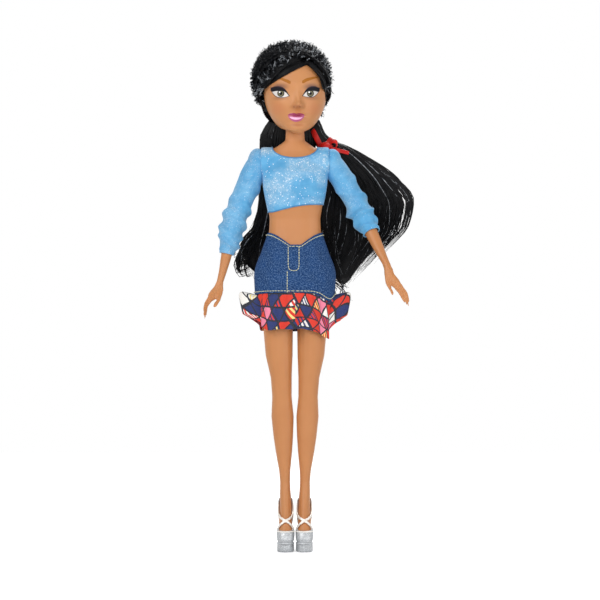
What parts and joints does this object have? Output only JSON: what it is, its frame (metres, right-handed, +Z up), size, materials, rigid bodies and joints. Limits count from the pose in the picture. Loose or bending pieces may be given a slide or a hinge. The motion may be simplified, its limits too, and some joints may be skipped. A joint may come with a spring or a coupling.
{
  "type": "fashion doll",
  "caption": "Standing fashion doll: turning head, swinging arms and legs, dark gathered hair with ribbon, cropped top, denim skirt with printed ruffle, strapped platform shoes.",
  "frame": {"origin": "on the floor under the middle of the whole doll, hair and hands included", "axes": "+Z up, the doll faces -Y, its own left is +X"},
  "size_m": [0.1219, 0.0485, 0.2995],
  "materials": {
    "skin": "satin moulded vinyl",
    "nylon": "moulded nylon",
    "hair": "glossy combed fibre",
    "knit": "fine knit with metallic print",
    "denim": "woven twill",
    "print": "printed plain weave",
    "silver": "moulded with fine glitter",
    "ribbon": "satin ribbon",
    "tape": "hook and loop tape"
  },
  "bodies": {
    "torso": {"torso_front": "skin", "torso_back": "skin", "neck_knob": "nylon", "hip_axle": "nylon", "top_bodice": "knit", "top_loop_tape": "tape", "top_hook_tape": "tape", "skirt_denim": "denim", "skirt_ruffle": "print", "skirt_loop_tape": "tape", "skirt_hook_tape": "tape", "hair_fall": "hair", "hair_tail": "hair", "ribbon_band": "ribbon", "ribbon_bow": "ribbon"},
    "head": {"head_shell": "skin", "hair_cap": "hair", "hair_bangs": "hair", "hair_sweep": "hair"},
    "arm_left": {"arm_left": "skin", "sleeve_left": "knit"},
    "arm_right": {"arm_right": "skin", "sleeve_right": "knit"},
    "leg_left": {"leg_left": "skin", "shoe_left": "silver"},
    "leg_right": {"leg_right": "skin", "shoe_right": "silver"}
  },
  "joints": [
    {"name": "neck_turn", "type": "hinge", "parent": "torso", "child": "head", "pos_m": [-0.0066, -0.0006, 0.25415], "axis": [0, 0, 1], "range_deg": [-60, 60], "deforming": ["hair_fall", "hair_tail"]},
    {"name": "shoulder_left", "type": "hinge", "parent": "torso", "child": "arm_left", "pos_m": [0.013, -0.0008, 0.2285], "axis": [-1, 0, 0], "range_deg": [0, 150]},
    {"name": "shoulder_right", "type": "hinge", "parent": "torso", "child": "arm_right", "pos_m": [-0.0262, -0.0008, 0.2285], "axis": [-1, 0, 0], "range_deg": [-25, 150]},
    {"name": "hip_left", "type": "hinge", "parent": "torso", "child": "leg_left", "pos_m": [0.0033, -0.0008, 0.162], "axis": [-1, 0, 0], "range_deg": [-15, 60], "deforming": ["skirt_denim", "skirt_ruffle"]},
    {"name": "hip_right", "type": "hinge", "parent": "torso", "child": "leg_right", "pos_m": [-0.0165, -0.0008, 0.162], "axis": [-1, 0, 0], "range_deg": [-15, 60], "deforming": ["skirt_denim", "skirt_ruffle"]}
  ]
}
